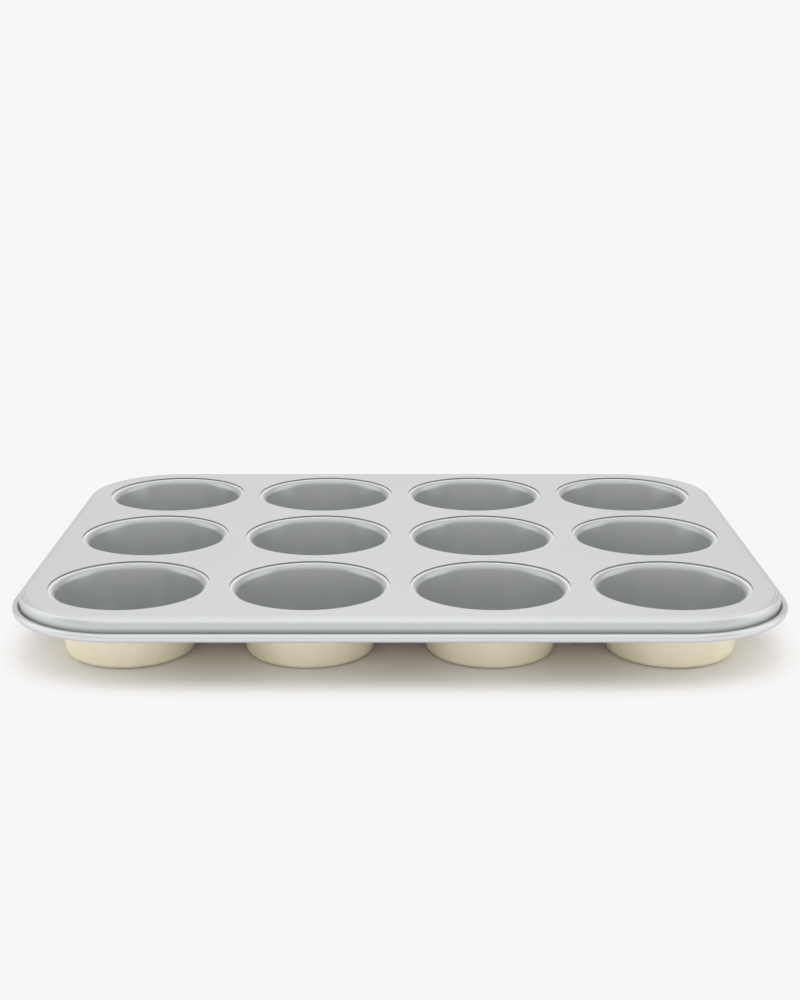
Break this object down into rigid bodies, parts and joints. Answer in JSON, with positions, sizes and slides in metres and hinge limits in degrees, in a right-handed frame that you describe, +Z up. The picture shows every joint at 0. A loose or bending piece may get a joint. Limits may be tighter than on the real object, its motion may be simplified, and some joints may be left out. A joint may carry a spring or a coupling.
{
  "type": "muffin pan",
  "caption": "Rectangular muffin pan with rows of round tapered cups set in a flat deck with rounded corners and a rolled, wire-stiffened rim.",
  "frame": {"origin": "under the middle of the pan, on the plane that the bases of the cups stand on", "axes": "+X along the long side, +Y from the front long side to the back one, +Z up out of the cups"},
  "size_m": [0.3424, 0.2638, 0.0296],
  "materials": {
    "grey_coating": "satin light grey non-stick coating on sheet steel",
    "gold_coating": "satin champagne gold coating on sheet steel, outside of the cups and underside",
    "bare_steel": "plain drawn wire"
  },
  "bodies": {
    "root": {"deck": "grey_coating", "rim_wire": "bare_steel", "cup_front_1": "gold_coating", "cup_front_2": "gold_coating", "cup_front_3": "gold_coating", "cup_front_4": "gold_coating", "cup_middle_1": "gold_coating", "cup_middle_2": "gold_coating", "cup_middle_3": "gold_coating", "cup_middle_4": "gold_coating", "cup_back_1": "gold_coating", "cup_back_2": "gold_coating", "cup_back_3": "gold_coating", "cup_back_4": "gold_coating"}
  },
  "joints": []
}
